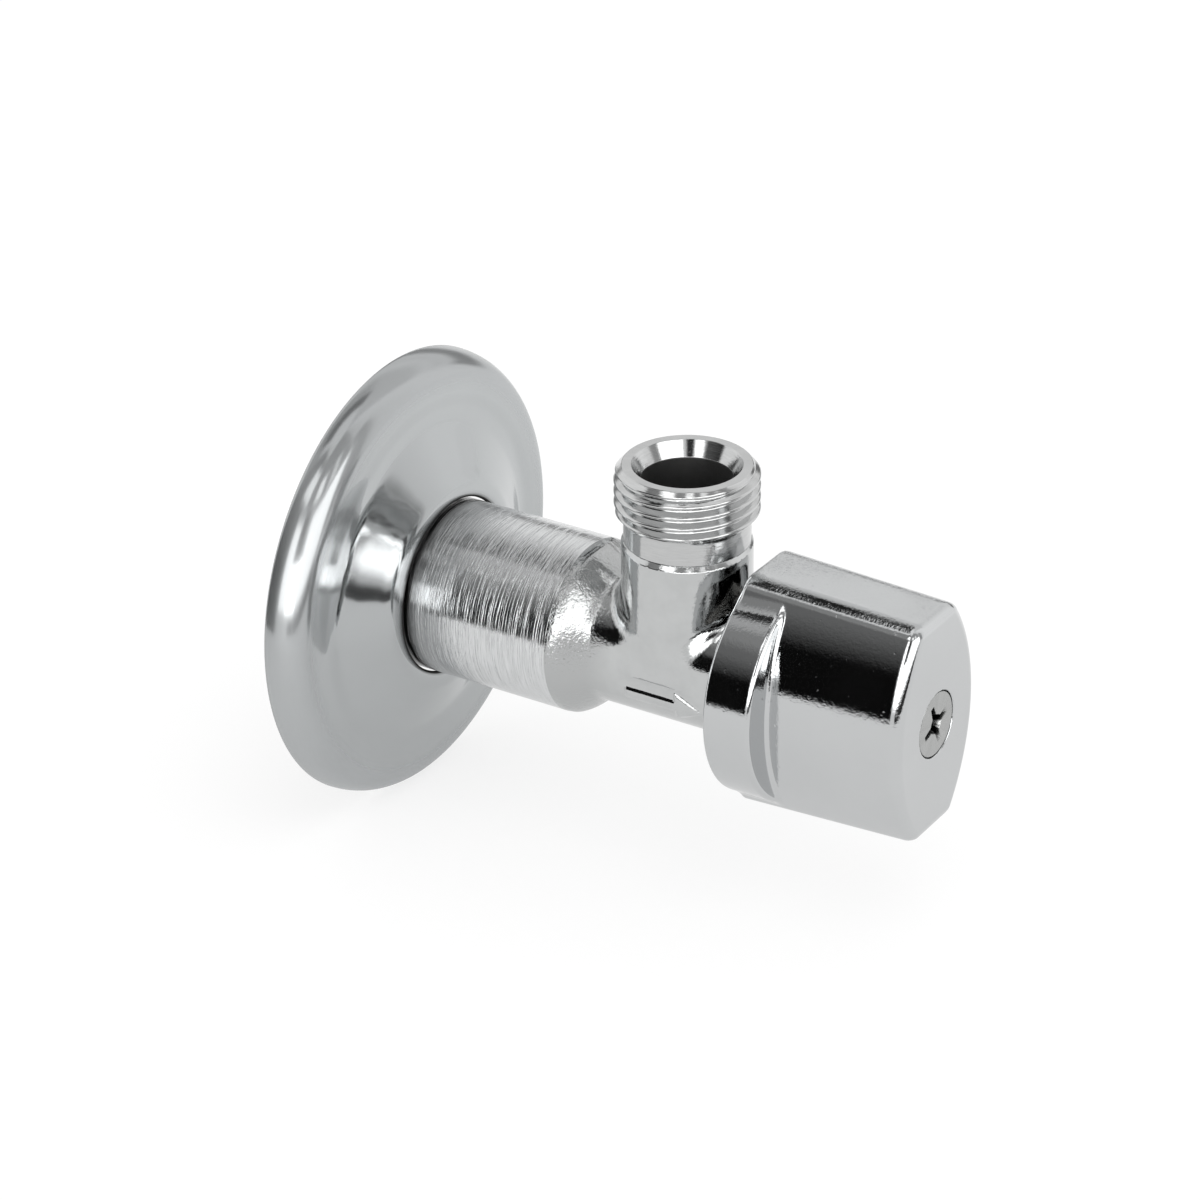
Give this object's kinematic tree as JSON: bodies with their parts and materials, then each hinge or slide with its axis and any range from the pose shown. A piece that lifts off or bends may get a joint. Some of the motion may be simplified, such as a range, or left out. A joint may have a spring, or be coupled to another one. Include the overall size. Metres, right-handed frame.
{
  "type": "angle stop valve",
  "caption": "Wall-mounted angle stop valve with threaded inlet, threaded side outlet, loose wall escutcheon and a two-lobed turning knob.",
  "frame": {"origin": "on the valve's axis, midway between the end of the inlet thread and the knob's front face, which is also the centre of the whole part's box; the wall plane (the escutcheon's back rim) is at y = 0.0307", "axes": "+Y into the wall along the inlet, -Y towards the user and the knob, +Z along the outlet, +X to the user's right"},
  "size_m": [0.0546, 0.084, 0.0546],
  "materials": {
    "chromed_body": "brass, bright chrome plated, forged skin on neck and boss, turned collar",
    "chromed_sheet": "pressed sheet, bright chrome plated",
    "chromed_knob": "zinc die casting, polished and bright chrome plated",
    "screw_steel": "nickel plated steel, dull",
    "nickelled_brass": "turned brass, dull nickel plated",
    "brass": "turned brass",
    "spring_steel": "stainless spring steel",
    "rubber": "matt moulded nitrile rubber",
    "plastic": "white low-friction plastic"
  },
  "bodies": {
    "valve_body": {"body": "chromed_body", "bonnet": "nickelled_brass", "bonnet_o_ring": "rubber"},
    "wall_plate": {"escutcheon": "chromed_sheet"},
    "knob_and_spindle": {"knob": "chromed_knob", "knob_screw": "screw_steel", "spindle": "brass", "spindle_o_ring_inner": "rubber", "spindle_o_ring_outer": "rubber", "thrust_washer": "plastic", "spindle_circlip": "spring_steel"},
    "closing_group": {"closing_piece": "brass", "closing_piece_o_ring": "rubber", "seat_washer": "rubber", "seat_washer_screw": "brass"}
  },
  "joints": [
    {"name": "knob_turn", "type": "hinge", "parent": "valve_body", "child": "knob_and_spindle", "pos_m": [0, -0.0293, 0], "axis": [0, -1, 0], "range_deg": [0, 1080]},
    {"name": "closing_lift", "type": "slide", "parent": "valve_body", "child": "closing_group", "axis": [0, -1, 0], "range_m": [0, 0.00302]},
    {"name": "plate_slide", "type": "slide", "parent": "valve_body", "child": "wall_plate", "axis": [0, -1, 0], "range_m": [0, 0.018]}
  ],
  "couplings": [
    {"joint": "closing_lift", "follows": "knob_turn", "m_per_rad": 0.00015915}
  ]
}
